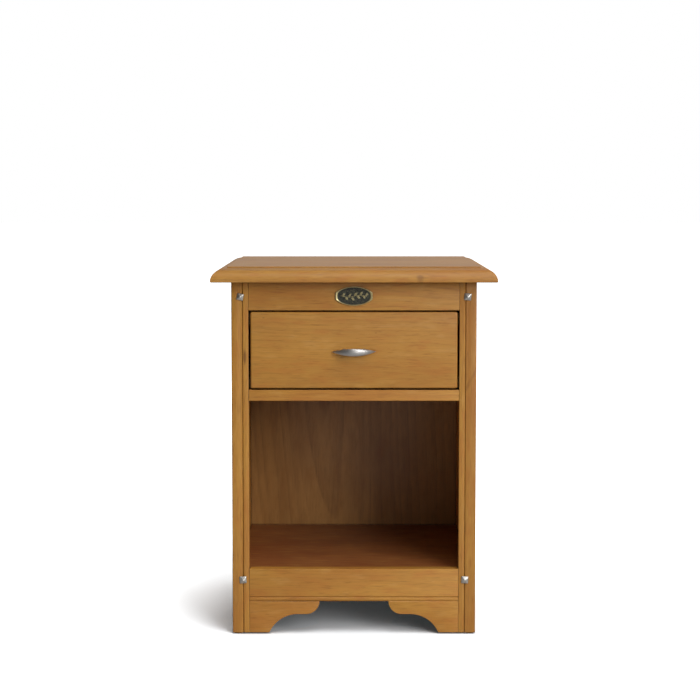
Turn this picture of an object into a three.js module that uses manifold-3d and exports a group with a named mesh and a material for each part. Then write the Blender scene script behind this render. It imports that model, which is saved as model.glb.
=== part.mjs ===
// Pine nightstand: one inset drawer over an open compartment.
// Millimetres, +Z up, the front faces -Y. The origin is on the floor, under the
// centre of the top panel.

import * as THREE from 'three';
import { mergeVertices } from 'three/addons/utils/BufferGeometryUtils.js';
import Module from 'manifold-3d';

const manifold = await Module();
manifold.setup();

// ---------------------------------------------------------------- driving sizes

const HEIGHT = 610;
const GAP = 0.3; // left between pieces that touch
const OVERCUT = 1; // how far a cutting tool runs past the face that it enters

const TOP = { width: 466, depth: 430, thickness: 25 };
const FRONT_OVERHANG = 30;
const BACK_OVERHANG = 10;
// The moulding worked on the front and sides of the top: an elliptical thumbnail under a
// small step, over an eased lower edge.
const THUMBNAIL = { width: 26, height: 21, step: 2, ease: 1 };

const BODY_WIDTH = 402;
const BOARD = 18; // planed pine
const WALL = 9; // the sides, between their thicker front and rear edges
const STILE_WIDTH = 10;
const JOINT_CHAMFER = 1.2; // half of the V between side panel and stile
const CORNER_ROUND = 2;
const GLIDE = { height: 2, radius: 7, edge: 0.7 };

const COMPARTMENT = { floor: 108, lip: 109, ceiling: 389 };
const DRAWER_OPENING = { floor: 407, ceiling: 538 };
const DIVIDER_DEPTH = 45;
const BACK_PANEL = { thickness: 6, recess: 15, skirt: 40 };
const BATTEN = { width: 20, height: 18 };
const CORNER_BLOCK = { leg: 28, lift: 4 };
const TOP_CLEAT = { fromFrame: 30, fromRail: 5 };

const DRAWER = {
  clearance: 2.5, // over and under the face board
  sideClearance: 3.2,
  travel: 255,
  roundOver: 3,
  stock: 12, // sides, sub-front and back
  length: 316,
  sideTop: 512,
  frontTop: 500,
  tail: 38, // the sides run on behind the drawer back
  sideStep: 0.8, // the sides stand in from the ends of the face board
};
const DRAWER_BOTTOM = { z: 418, thickness: 5, groove: 6 };
const GUIDES = { bearing: 8, sideClearance: 1.3, kickerClearance: 2, rearStop: 14 };
const STOP_TAB = { width: 60, overFront: 4, onRail: 20 };

// Half of the apron's cut-out: flat neck, quarter round, ledge, then a scoop to the floor.
const APRON = { neckTop: 55.3, ledge: 33.2, neck: 57, foot: 141, scoopRadius: 51.2 };
const BEAD_GROOVE = { upper: 61.8, lower: 55.5, width: 3.3, depth: 1.8 };

const STUD = { size: 11, rim: 1, peak: 3.2, shank: 1.5, bore: 2, length: 12 };
// How far each pair of studs sits outside the joint of stile and side, and how high.
const STUD_PLACES = { upper: { offset: 3.1, z: 560.3 }, lower: { offset: 0.3, z: 91 } };
const PLAQUE = {
  width: 60.5, height: 31, end: 11.5, plate: 1.6, rim: 1, rimWidth: 1.6,
  rimEnd: 4.5, // the rim is wider at the ends
};
const HANDLE = {
  length: 73, height: 12.6, projection: 20, blade: 4.2, tipGap: 1.2, centres: 32, post: 4,
  drop: 1.5, // below the middle of the face board
};

const TOP_SCREW = { length: 32, shank: 2, head: 4, bore: 2.5, inset: 50 };
const HANDLE_SCREW = { shank: 2, head: 4.5, bore: 2.4, inHandle: 6 };
const FACE_SCREW = { length: 24, shank: 1.8, head: 4, bore: 2.2, inFace: 12, x: 120 };
const SCREW_HEAD = { height: 2.5, rim: 0.6 };

const BORE_STEPS = 5; // curve steps per half circle, for holes
const POST_STEPS = 8;
const ARC_STEPS = 10;
const FINE_STEPS = 24;

// ---------------------------------------------------------------- derived places

const TOP_UNDERSIDE = HEIGHT - TOP.thickness;
const CARCASS_TOP = TOP_UNDERSIDE - GAP;
const CARCASS_FOOT = GLIDE.height + GAP;
const FRONT = -TOP.depth / 2 + FRONT_OVERHANG;
const REAR = TOP.depth / 2 - BACK_OVERHANG;
const SIDE_OUTER = BODY_WIDTH / 2;
const EDGE_INNER = SIDE_OUTER - BOARD; // inner face of a side's thick edges
const STILE_OUTER = EDGE_INNER - GAP;
const STILE_INNER = EDGE_INNER - STILE_WIDTH;
const INSIDE = SIDE_OUTER - WALL - GAP; // half width of what fits between the sides
const BETWEEN_STILES = STILE_INNER - GAP;
const FRAME_BACK = FRONT + BOARD; // rear of the 18 mm front frame
const BEHIND_FRAME = FRAME_BACK + GAP;
const PANEL_BACK = REAR - BACK_PANEL.recess;
const PANEL_FRONT = PANEL_BACK - BACK_PANEL.thickness;
const INSIDE_BACK = PANEL_FRONT - GAP;
const REAR_RAIL_FRONT = INSIDE_BACK - BOARD;
const BATTEN_INNER = INSIDE - BATTEN.width;
const SHELF_UNDERSIDE = COMPARTMENT.floor - BOARD;

const FACE_HALF = STILE_INNER - DRAWER.sideClearance;
const FACE_BOTTOM = DRAWER_OPENING.floor + DRAWER.clearance;
const FACE_TOP = DRAWER_OPENING.ceiling - DRAWER.clearance;
const FACE_MIDDLE = (FACE_BOTTOM + FACE_TOP) / 2;
const PULL_HEIGHT = FACE_MIDDLE - HANDLE.drop;
const BOX_HALF = FACE_HALF - DRAWER.sideStep; // outer face of the drawer sides
const BOX_INNER = BOX_HALF - DRAWER.stock;
const BOX_FLOOR = DRAWER_OPENING.floor + GAP;
const BOX_END = BEHIND_FRAME + DRAWER.length;
const BOX_BACK_REAR = BOX_END - DRAWER.tail;
const BOX_BACK_FRONT = BOX_BACK_REAR - DRAWER.stock;
const SUB_FRONT_BACK = BEHIND_FRAME + DRAWER.stock;

const SIDES = [['left', -1], ['right', 1]];

// ---------------------------------------------------------------- finishes

const finish = (color, roughness, metalness) => () =>
  new THREE.MeshStandardMaterial({ color, roughness, metalness });
const pine = finish(0xa5753b, 0.45, 0);
const rawPine = finish(0xcda873, 0.7, 0);
const plywood = finish(0x8c5f33, 0.55, 0);
const pewter = finish(0xa9a6a0, 0.35, 1);
const nickel = finish(0xb9b8b6, 0.28, 1);
const agedBrass = finish(0x6f6647, 0.45, 1);
const steel = finish(0x9a9a9c, 0.4, 1);
const nylon = finish(0x4a3320, 0.6, 0);

// ---------------------------------------------------------------- solids

const MERGE_DISTANCE = 1e-4;

function toSolid(geometry) {
  const bare = geometry.clone();
  bare.deleteAttribute('normal');
  bare.deleteAttribute('uv');
  const merged = mergeVertices(bare, MERGE_DISTANCE);
  return new manifold.Manifold(new manifold.Mesh({
    numProp: 3,
    vertProperties: new Float32Array(merged.attributes.position.array),
    triVerts: new Uint32Array(merged.index.array),
  }));
}

function toGeometry(solid) {
  const mesh = solid.getMesh();
  const geometry = new THREE.BufferGeometry();
  geometry.setAttribute('position', new THREE.BufferAttribute(mesh.vertProperties, 3));
  geometry.setIndex(new THREE.BufferAttribute(mesh.triVerts, 1));
  geometry.computeVertexNormals();
  return geometry;
}

const cut = (geometry, ...tools) =>
  toGeometry(tools.reduce((solid, tool) => solid.subtract(toSolid(tool)), toSolid(geometry)));
const join = (geometry, ...others) =>
  toGeometry(others.reduce((solid, other) => solid.add(toSolid(other)), toSolid(geometry)));
const common = (a, b) => toGeometry(toSolid(a).intersect(toSolid(b)));

// ---------------------------------------------------------------- shapes

const point = (a, b) => new THREE.Vector2(a, b);
const spanOn = (side, inner, outer) => (side < 0 ? [-outer, -inner] : [inner, outer]);

function block(x, y, z) {
  const geometry = new THREE.BoxGeometry(x[1] - x[0], y[1] - y[0], z[1] - z[0]);
  return geometry.translate((x[0] + x[1]) / 2, (y[0] + y[1]) / 2, (z[0] + z[1]) / 2);
}

// Axes for an outline that is drawn across one direction and run along it.
const RUNS = {
  x: [[0, 1, 0], [0, 0, 1], [1, 0, 0]], // drawn in (y, z)
  y: [[0, 0, 1], [1, 0, 0], [0, 1, 0]], // drawn in (z, x)
  z: [[1, 0, 0], [0, 1, 0], [0, 0, 1]], // drawn in (x, y)
};

function turnTo(axis, geometry) {
  const directions = RUNS[axis].map((direction) => new THREE.Vector3(...direction));
  return geometry.applyMatrix4(new THREE.Matrix4().makeBasis(...directions));
}

function run(axis, outline, from, to, curveSegments = POST_STEPS) {
  const shape = outline instanceof THREE.Shape ? outline : new THREE.Shape(outline);
  const options = { depth: to - from, bevelEnabled: false, curveSegments };
  return turnTo(axis, new THREE.ExtrudeGeometry(shape, options).translate(0, 0, from));
}

// A round pin, hole or post along one axis.
function rod(axis, radius, from, to, steps = BORE_STEPS) {
  const circle = new THREE.Shape().absarc(0, 0, radius, 0, 2 * Math.PI, false);
  return run(axis, circle, from, to, steps);
}

// Part of an ellipse about a centre, as points from one angle to another.
function ellipseArc(centre, across, up, from, to, steps = ARC_STEPS) {
  return Array.from({ length: steps + 1 }, (_, i) => {
    const angle = from + ((to - from) * i) / steps;
    return point(centre[0] + across * Math.cos(angle), centre[1] + up * Math.sin(angle));
  });
}

// Radius of the arc that rises this far over a chord of this half length.
const arcRadius = (halfChord, rise) => (halfChord ** 2 + rise ** 2) / (2 * rise);

// Two arcs that bulge by halfWidth on either side of the chord, which lies along the second
// axis. With an end height above 0 the tips are cut square.
function lensShape(halfWidth, halfChord, halfEnd = 0) {
  const rise = halfWidth - halfEnd;
  const radius = arcRadius(halfChord, rise);
  const sweep = Math.asin(halfChord / radius);
  const centre = halfWidth - radius;
  const shape = new THREE.Shape();
  shape.absarc(centre, 0, radius, -sweep, sweep, false);
  shape.absarc(-centre, 0, radius, Math.PI - sweep, Math.PI + sweep, false);
  shape.closePath();
  return shape;
}

// A countersunk screw along +Z, with the flat of its head at z = 0.
function screwGeometry(length, { shank, head }) {
  const profile = [
    point(0, 0),
    point(head, 0),
    point(head, SCREW_HEAD.rim),
    point(shank, SCREW_HEAD.height),
    point(shank, length - 2 * shank),
    point(0, length),
  ];
  return new THREE.LatheGeometry(profile, 12).rotateX(Math.PI / 2);
}

// ---------------------------------------------------------------- scene graph

const nightstand = new THREE.Group();
const carcass = new THREE.Group();
const drawer = new THREE.Group();
nightstand.add(carcass, drawer);

function place(group, name, geometry, material, position = [0, 0, 0]) {
  const mesh = new THREE.Mesh(geometry, material());
  mesh.name = name;
  mesh.position.set(...position);
  group.add(mesh);
}

// A plain squared board, given by its ranges, with its mesh placed at its centre.
function board(group, name, material, x, y, z) {
  const size = [x, y, z].map(([low, high]) => high - low);
  const centre = [x, y, z].map(([low, high]) => (low + high) / 2);
  place(group, name, new THREE.BoxGeometry(...size), material, centre);
}

// ---------------------------------------------------------------- top panel

const cleatSpan = [FRAME_BACK + TOP_CLEAT.fromFrame, REAR_RAIL_FRONT - TOP_CLEAT.fromRail];
const cleatZ = [CARCASS_TOP - BATTEN.height, CARCASS_TOP];
const topScrews = SIDES.flatMap(([sideName, side]) => [
  ['front', cleatSpan[0] + TOP_SCREW.inset],
  ['rear', cleatSpan[1] - TOP_SCREW.inset],
].map(([endName, y]) => ({
  name: `top_screw_${endName}_${sideName}`,
  side,
  x: side * (INSIDE - BATTEN.width / 2),
  y,
})));
const topScrewBore = ({ x, y }, from, to) => rod('z', TOP_SCREW.bore, from, to).translate(x, y, 0);

// One moulded edge of the top, from its underside to the flat, for an edge at this distance.
function thumbnailEdge(outer) {
  const shoulder = HEIGHT - THUMBNAIL.step;
  const centre = [outer - THUMBNAIL.width, shoulder - THUMBNAIL.height];
  return [
    point(outer - THUMBNAIL.ease, TOP_UNDERSIDE),
    point(outer, TOP_UNDERSIDE + THUMBNAIL.ease),
    ...ellipseArc(centre, THUMBNAIL.width, THUMBNAIL.height, 0, Math.PI / 2),
    point(outer - THUMBNAIL.width, HEIGHT),
  ];
}

const mirrored = (points) => points.map((p) => point(-p.x, p.y)).reverse();
const swapped = (points) => points.map((p) => point(p.y, p.x));

// The slab is what a profile run front to back and one run side to side have in common, so
// the mouldings meet in mitres at the front corners.
function topPanelGeometry() {
  const halfDepth = TOP.depth / 2;
  const halfWidth = TOP.width / 2;
  const rightEdge = thumbnailEdge(halfWidth);
  const acrossWidth = swapped([...rightEdge, ...mirrored(rightEdge)]);
  const rearEdge = [point(halfDepth, TOP_UNDERSIDE), point(halfDepth, HEIGHT)];
  const acrossDepth = [...mirrored(thumbnailEdge(halfDepth)), ...rearEdge];
  const slab = common(
    run('y', acrossWidth, -halfDepth - OVERCUT, halfDepth),
    run('x', acrossDepth, -halfWidth - OVERCUT, halfWidth + OVERCUT),
  );
  const pilotTop = TOP_UNDERSIDE + TOP_SCREW.length - BATTEN.height + GAP;
  const pilots = topScrews.map((screw) => topScrewBore(screw, TOP_UNDERSIDE - OVERCUT, pilotTop));
  return cut(slab, ...pilots);
}

place(carcass, 'top_panel', topPanelGeometry(), pine);

for (const [name, side] of SIDES) {
  const cleat = block(spanOn(side, BATTEN_INNER, INSIDE), cleatSpan, cleatZ);
  const bores = topScrews.filter((screw) => screw.side === side).map((screw) =>
    topScrewBore(screw, cleatZ[0] - OVERCUT, cleatZ[1] + OVERCUT));
  place(carcass, `top_cleat_${name}`, cut(cleat, ...bores), rawPine);
}
for (const { name, x, y } of topScrews) {
  const head = cleatZ[0] - SCREW_HEAD.height - GAP;
  place(carcass, name, screwGeometry(TOP_SCREW.length, TOP_SCREW), steel, [x, y, head]);
}

// ---------------------------------------------------------------- sides and stiles

const studX = (side, offset) => side * (EDGE_INNER + offset);
const studBores = (side) => Object.values(STUD_PLACES).map(({ offset, z }) => {
  const bore = rod('y', STUD.bore, FRONT - OVERCUT, FRONT + STUD.length + GAP);
  return bore.translate(studX(side, offset), 0, z);
});
const onSide = (side, points) => points.map((p) => point(side * p.x, p.y));

// Seen from above: a thin wall, flush outside, between a thick front edge, which has the V at
// the stile and a rounded outer corner, and a thick rear edge, which the back bears on.
function sidePanelGeometry(side) {
  const corner = [SIDE_OUTER - CORNER_ROUND, FRONT + CORNER_ROUND];
  const wallInner = SIDE_OUTER - WALL;
  const outline = onSide(side, [
    point(EDGE_INNER, FRONT + JOINT_CHAMFER),
    point(EDGE_INNER + JOINT_CHAMFER, FRONT),
    ...ellipseArc(corner, CORNER_ROUND, CORNER_ROUND, -Math.PI / 2, 0, 3),
    point(SIDE_OUTER, REAR),
    point(EDGE_INNER, REAR),
    point(EDGE_INNER, PANEL_BACK + GAP),
    point(wallInner, PANEL_BACK + GAP),
    point(wallInner, FRAME_BACK),
    point(EDGE_INNER, FRAME_BACK),
  ]);
  return cut(run('z', outline, CARCASS_FOOT, CARCASS_TOP), ...studBores(side));
}

function stileGeometry(side) {
  const outline = onSide(side, [
    point(STILE_INNER, FRONT),
    point(STILE_OUTER - JOINT_CHAMFER, FRONT),
    point(STILE_OUTER, FRONT + JOINT_CHAMFER),
    point(STILE_OUTER, FRAME_BACK),
    point(STILE_INNER, FRAME_BACK),
  ]);
  return cut(run('z', outline, CARCASS_FOOT, CARCASS_TOP), ...studBores(side));
}

for (const [name, side] of SIDES) {
  place(carcass, `side_panel_${name}`, sidePanelGeometry(side), pine);
  place(carcass, `front_stile_${name}`, stileGeometry(side), pine);
}

// ---------------------------------------------------------------- front rails

const railSpan = [-BETWEEN_STILES, BETWEEN_STILES];
board(carcass, 'top_rail', pine, railSpan, [FRONT, FRAME_BACK],
  [DRAWER_OPENING.ceiling, CARCASS_TOP]);
board(carcass, 'drawer_divider_rail', pine, railSpan, [FRONT, FRONT + DIVIDER_DEPTH],
  [COMPARTMENT.ceiling, DRAWER_OPENING.floor]);

function apronOutline() {
  const { neckTop, ledge, neck, foot, scoopRadius } = APRON;
  const corner = neckTop - ledge;
  const scoopDrop = scoopRadius - ledge; // the scoop's centre lies this far below the floor
  const scoopX = foot - Math.sqrt(scoopRadius ** 2 - scoopDrop ** 2);
  const footAngle = Math.asin((scoopDrop + CARCASS_FOOT) / scoopRadius);
  const scoop = ellipseArc([scoopX, -scoopDrop], scoopRadius, scoopRadius, footAngle, Math.PI / 2);
  const quarterRound = ellipseArc([neck + corner, neckTop], corner, corner, -Math.PI / 2, -Math.PI);
  const half = [
    point(BETWEEN_STILES, COMPARTMENT.lip),
    point(BETWEEN_STILES, CARCASS_FOOT),
    ...scoop,
    ...quarterRound,
  ];
  return swapped([...half, ...mirrored(half)]);
}

// A V groove across the apron's face. The wood left between two of them is the bead.
function beadGroove(z) {
  const half = BEAD_GROOVE.width / 2;
  const outline = [
    point(FRONT - OVERCUT, z - half - OVERCUT),
    point(FRONT, z - half),
    point(FRONT + BEAD_GROOVE.depth, z),
    point(FRONT, z + half),
    point(FRONT - OVERCUT, z + half + OVERCUT),
  ];
  return run('x', outline, -EDGE_INNER, EDGE_INNER);
}

const beadGrooves = [BEAD_GROOVE.upper, BEAD_GROOVE.lower].map(beadGroove);
const apronBoard = run('y', apronOutline(), FRONT, FRAME_BACK);
place(carcass, 'front_apron', cut(apronBoard, ...beadGrooves), pine);

// ---------------------------------------------------------------- shelf, back and base

const insideSpan = [-INSIDE, INSIDE];
board(carcass, 'bottom_shelf', pine, insideSpan, [BEHIND_FRAME, INSIDE_BACK],
  [SHELF_UNDERSIDE, COMPARTMENT.floor]);

board(carcass, 'back_panel', plywood, insideSpan, [PANEL_FRONT, PANEL_BACK],
  [SHELF_UNDERSIDE - BACK_PANEL.skirt, CARCASS_TOP]);

const rearRailY = [REAR_RAIL_FRONT, INSIDE_BACK];
board(carcass, 'rear_top_rail', rawPine, insideSpan, rearRailY,
  [DRAWER_OPENING.ceiling, CARCASS_TOP]);
board(carcass, 'rear_base_rail', rawPine, insideSpan, rearRailY,
  [CARCASS_FOOT, SHELF_UNDERSIDE - GAP]);

const shelfCleatZ = [SHELF_UNDERSIDE - GAP - BATTEN.height, SHELF_UNDERSIDE - GAP];

// Triangular block, glued in the corner behind each foot of the apron.
function cornerBlockGeometry(side) {
  const outline = onSide(side, [
    point(INSIDE, BEHIND_FRAME),
    point(INSIDE, BEHIND_FRAME + CORNER_BLOCK.leg),
    point(INSIDE - CORNER_BLOCK.leg, BEHIND_FRAME),
  ]);
  return run('z', outline, CARCASS_FOOT + CORNER_BLOCK.lift, shelfCleatZ[0] - GAP);
}

for (const [name, side] of SIDES) {
  place(carcass, `corner_block_${name}`, cornerBlockGeometry(side), rawPine);
  board(carcass, `shelf_cleat_${name}`, rawPine, spanOn(side, BATTEN_INNER, INSIDE),
    [BEHIND_FRAME, REAR_RAIL_FRONT - GAP], shelfCleatZ);
}

// ---------------------------------------------------------------- drawer guides and stops

const runnerInner = BOX_INNER - GUIDES.bearing;
const guideInner = BOX_HALF + GUIDES.sideClearance;
const kickerBottom = DRAWER.sideTop + GUIDES.kickerClearance;
const guideY = [BEHIND_FRAME, INSIDE_BACK];

for (const [name, side] of SIDES) {
  board(carcass, `drawer_runner_${name}`, rawPine, spanOn(side, runnerInner, INSIDE),
    [FRONT + DIVIDER_DEPTH + GAP, INSIDE_BACK], [COMPARTMENT.ceiling, DRAWER_OPENING.floor]);
  board(carcass, `drawer_guide_${name}`, rawPine, spanOn(side, guideInner, INSIDE), guideY,
    [BOX_FLOOR, BOX_FLOOR + BATTEN.height]);
  board(carcass, `drawer_kicker_${name}`, rawPine, spanOn(side, runnerInner, INSIDE), guideY,
    [kickerBottom, kickerBottom + BATTEN.height]);
  board(carcass, `drawer_rear_stop_${name}`, rawPine, spanOn(side, runnerInner, BOX_HALF),
    [BOX_END + GAP, BOX_END + GAP + GUIDES.rearStop], [BOX_FLOOR, BOX_FLOOR + BATTEN.height]);
}

// This tab behind the top rail hangs in the path of the drawer back and limits its travel.
const stopTabBack = BOX_BACK_FRONT - DRAWER.travel - GAP;
board(carcass, 'drawer_stop_tab', rawPine, [-STOP_TAB.width / 2, STOP_TAB.width / 2],
  [BEHIND_FRAME, stopTabBack],
  [DRAWER.frontTop + STOP_TAB.overFront, DRAWER_OPENING.ceiling + STOP_TAB.onRail]);

// ---------------------------------------------------------------- glides

function glideGeometry() {
  const profile = [
    point(0, 0),
    point(GLIDE.radius - GLIDE.edge, 0),
    point(GLIDE.radius, GLIDE.edge),
    point(GLIDE.radius, GLIDE.height),
    point(0, GLIDE.height),
  ];
  return new THREE.LatheGeometry(profile, FINE_STEPS).rotateX(Math.PI / 2);
}

// Each glide is under the middle of one thick edge of a side.
const glideRows = [['front', FRONT + BOARD / 2], ['rear', REAR - BACK_PANEL.recess / 2]];
for (const [sideName, side] of SIDES) {
  for (const [endName, y] of glideRows) {
    const centre = [side * (SIDE_OUTER - BOARD / 2), y, 0];
    place(carcass, `glide_${endName}_${sideName}`, glideGeometry(), nylon, centre);
  }
}

// ---------------------------------------------------------------- studs and plaque

// A nail with a low square pyramid head. The lower ones sit in the joint of side and stile.
function studGeometry() {
  const half = STUD.size / 2;
  const base = block([-half, half], [-STUD.rim, 0], [-half, half]);
  const pyramid = new THREE.ConeGeometry(half * Math.SQRT2, STUD.peak, 4);
  pyramid.rotateY(Math.PI / 4).rotateX(Math.PI).translate(0, -STUD.rim - STUD.peak / 2, 0);
  return join(base, pyramid, rod('y', STUD.shank, -STUD.rim / 2, STUD.length));
}

for (const [sideName, side] of SIDES) {
  for (const [levelName, { offset, z }] of Object.entries(STUD_PLACES)) {
    const centre = [studX(side, offset), FRONT - GAP, z];
    place(carcass, `stud_${levelName}_${sideName}`, studGeometry(), pewter, centre);
  }
}

// A long oval plate with short upright ends. Its field is sunk inside a raised rim.
function plaqueGeometry() {
  const halfHeight = PLAQUE.height / 2;
  const halfWidth = PLAQUE.width / 2;
  const halfEnd = PLAQUE.end / 2;
  const { rimWidth, rimEnd, plate, rim } = PLAQUE;
  const outer = lensShape(halfHeight, halfWidth, halfEnd);
  const inner = lensShape(halfHeight - rimWidth, halfWidth - rimEnd, halfEnd - rimWidth);
  const body = run('y', outer, -plate - rim, 0, ARC_STEPS);
  return cut(body, run('y', inner, -plate - rim - OVERCUT, -plate, ARC_STEPS));
}

const plaqueHeight = (DRAWER_OPENING.ceiling + TOP_UNDERSIDE) / 2;
place(carcass, 'plaque', plaqueGeometry(), agedBrass, [0, FRONT - GAP, plaqueHeight]);

// ---------------------------------------------------------------- drawer box

const grooveZ = [DRAWER_BOTTOM.z - GAP, DRAWER_BOTTOM.z + DRAWER_BOTTOM.thickness + GAP];
const borePair = (radius, x, z, from, to) => [-1, 1].map((side) =>
  rod('y', radius, from, to).translate(side * x, 0, z));
const handleBores = (from, to) =>
  borePair(HANDLE_SCREW.bore, HANDLE.centres / 2, PULL_HEIGHT, from, to);
const faceBores = (from, to) => borePair(FACE_SCREW.bore, FACE_SCREW.x, FACE_MIDDLE, from, to);

// The face board, with its four front edges rounded over.
function drawerFaceGeometry() {
  const round = DRAWER.roundOver;
  const outline = [
    point(FACE_BOTTOM + round, round - FACE_HALF),
    point(FACE_TOP - round, round - FACE_HALF),
    point(FACE_TOP - round, FACE_HALF - round),
    point(FACE_BOTTOM + round, FACE_HALF - round),
  ];
  const options = { depth: BOARD, bevelThickness: round, bevelSize: round, bevelSegments: 3 };
  const pillow = new THREE.ExtrudeGeometry(new THREE.Shape(outline), options);
  turnTo('y', pillow).translate(0, FRONT + round, 0);
  const keep = block([-EDGE_INNER, EDGE_INNER], [FRONT - OVERCUT, FRAME_BACK], [0, HEIGHT]);
  const pastBack = FRAME_BACK + OVERCUT;
  const bores = [
    ...handleBores(FRONT - OVERCUT, pastBack),
    ...faceBores(FRAME_BACK - FACE_SCREW.inFace, pastBack),
  ];
  return cut(common(pillow, keep), ...bores);
}

function subFrontGeometry() {
  const grooveY = SUB_FRONT_BACK - DRAWER_BOTTOM.groove;
  const outline = [
    point(BEHIND_FRAME, BOX_FLOOR),
    point(SUB_FRONT_BACK, BOX_FLOOR),
    point(SUB_FRONT_BACK, grooveZ[0]),
    point(grooveY, grooveZ[0]),
    point(grooveY, grooveZ[1]),
    point(SUB_FRONT_BACK, grooveZ[1]),
    point(SUB_FRONT_BACK, DRAWER.frontTop),
    point(BEHIND_FRAME, DRAWER.frontTop),
  ];
  const through = [BEHIND_FRAME - OVERCUT, SUB_FRONT_BACK + OVERCUT];
  const subFront = run('x', outline, GAP - BOX_INNER, BOX_INNER - GAP);
  return cut(subFront, ...handleBores(...through), ...faceBores(...through));
}

function drawerSideGeometry(side) {
  const grooveX = BOX_INNER + DRAWER_BOTTOM.groove;
  const outline = onSide(side, [
    point(BOX_INNER, BOX_FLOOR),
    point(BOX_HALF, BOX_FLOOR),
    point(BOX_HALF, DRAWER.sideTop),
    point(BOX_INNER, DRAWER.sideTop),
    point(BOX_INNER, grooveZ[1]),
    point(grooveX, grooveZ[1]),
    point(grooveX, grooveZ[0]),
    point(BOX_INNER, grooveZ[0]),
  ]);
  return run('y', swapped(outline), BEHIND_FRAME, BOX_END);
}

place(drawer, 'drawer_front', drawerFaceGeometry(), pine);
place(drawer, 'drawer_box_front', subFrontGeometry(), rawPine);
for (const [name, side] of SIDES) {
  place(drawer, `drawer_side_${name}`, drawerSideGeometry(side), rawPine);
}
board(drawer, 'drawer_box_back', rawPine, [GAP - BOX_INNER, BOX_INNER - GAP],
  [BOX_BACK_FRONT, BOX_BACK_REAR], [grooveZ[1], DRAWER.sideTop]);

const bottomHalf = BOX_INNER + DRAWER_BOTTOM.groove - GAP;
board(drawer, 'drawer_bottom', plywood, [-bottomHalf, bottomHalf],
  [SUB_FRONT_BACK - DRAWER_BOTTOM.groove + GAP, BOX_BACK_REAR],
  [DRAWER_BOTTOM.z, DRAWER_BOTTOM.z + DRAWER_BOTTOM.thickness]);

// ---------------------------------------------------------------- drawer pull

const handleReach = HANDLE.length / 2;

// Height of the arc that joins the pull's tips, at a distance along the pull.
function bowHeight(rise, along) {
  const radius = arcRadius(handleReach, rise);
  return Math.sqrt(radius ** 2 - along ** 2) - radius + rise;
}

// A crescent from above and a lens from the front, on two short posts tapped for screws.
function handleGeometry() {
  const outerRise = HANDLE.projection - HANDLE.tipGap;
  const innerRise = outerRise - HANDLE.blade;
  const bow = (rise, direction) => Array.from({ length: FINE_STEPS + 1 }, (_, i) => {
    const along = direction * handleReach * (1 - (2 * i) / FINE_STEPS);
    return point(along, -HANDLE.tipGap - bowHeight(rise, along));
  });
  const plan = [...bow(outerRise, 1), ...bow(innerRise, -1).slice(1, -1)];
  const crescent = run('z', plan, -HANDLE.height, HANDLE.height);
  const lens = lensShape(HANDLE.height / 2, handleReach);
  const blade = common(crescent, run('y', lens, -HANDLE.projection - OVERCUT, 0, FINE_STEPS));

  const postX = HANDLE.centres / 2;
  const postReach = HANDLE.tipGap + bowHeight(outerRise - HANDLE.blade / 2, postX);
  const posts = [-1, 1].map((side) =>
    rod('y', HANDLE.post, -postReach, 0, POST_STEPS).translate(side * postX, 0, 0));
  const taps = [-1, 1].map((side) =>
    rod('y', HANDLE_SCREW.bore, -HANDLE_SCREW.inHandle - GAP, OVERCUT).translate(side * postX, 0, 0));
  return cut(join(blade, ...posts), ...taps);
}

place(drawer, 'handle', handleGeometry(), nickel, [0, FRONT - GAP, PULL_HEIGHT]);

// These screws are driven from inside the drawer, through the sub-front, towards the front.
const screwSeat = SUB_FRONT_BACK + SCREW_HEAD.height + GAP;
const handleScrewLength = screwSeat - FRONT + HANDLE_SCREW.inHandle;
for (const [name, side] of SIDES) {
  const handleScrew = screwGeometry(handleScrewLength, HANDLE_SCREW).rotateX(Math.PI / 2);
  const faceScrew = screwGeometry(FACE_SCREW.length, FACE_SCREW).rotateX(Math.PI / 2);
  place(drawer, `handle_screw_${name}`, handleScrew, steel,
    [side * (HANDLE.centres / 2), screwSeat, PULL_HEIGHT]);
  place(drawer, `drawer_face_screw_${name}`, faceScrew, steel,
    [side * FACE_SCREW.x, screwSeat, FACE_MIDDLE]);
}

export default nightstand;
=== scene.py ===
"""Looks of the pine nightstand: stained and raw wood, metal fittings, studio and camera."""

import math
import random
from collections import namedtuple

import bmesh
import bpy
from mathutils import Matrix, Vector, noise


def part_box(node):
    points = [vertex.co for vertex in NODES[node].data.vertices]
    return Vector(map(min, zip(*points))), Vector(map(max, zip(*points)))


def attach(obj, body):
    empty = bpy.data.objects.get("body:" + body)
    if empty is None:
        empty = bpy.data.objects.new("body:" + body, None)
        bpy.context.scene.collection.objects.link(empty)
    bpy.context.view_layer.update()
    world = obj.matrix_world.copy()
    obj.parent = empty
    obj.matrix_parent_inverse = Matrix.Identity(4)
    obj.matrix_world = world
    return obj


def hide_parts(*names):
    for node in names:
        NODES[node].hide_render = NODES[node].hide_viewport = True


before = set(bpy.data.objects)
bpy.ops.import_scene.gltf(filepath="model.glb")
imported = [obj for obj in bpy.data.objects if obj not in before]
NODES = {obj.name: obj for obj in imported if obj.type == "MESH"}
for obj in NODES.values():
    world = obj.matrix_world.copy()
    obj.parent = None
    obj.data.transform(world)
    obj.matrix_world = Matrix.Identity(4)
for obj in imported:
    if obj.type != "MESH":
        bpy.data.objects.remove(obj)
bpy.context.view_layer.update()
random.seed(7)

MM = 0.001
SIDES = (("left", -1), ("right", 1))
WHITE = (1.0, 1.0, 1.0, 1.0)


# ------------------------------------------------------------------ node trees

# Where the outer-edge mask starts and is full, by the cosine of how far a rounded normal turns away
# from the face. On wood it gives worn edges with a painted highlight; on metal and nylon, worn edges.
EDGE_COSINES = 0.98, 0.75
# Where a recess starts and is full, by the share of the sky that it sees.
RECESS_SKY = 0.78, 0.3
BEVEL_SAMPLES, RECESS_SAMPLES = 4, 6


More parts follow.
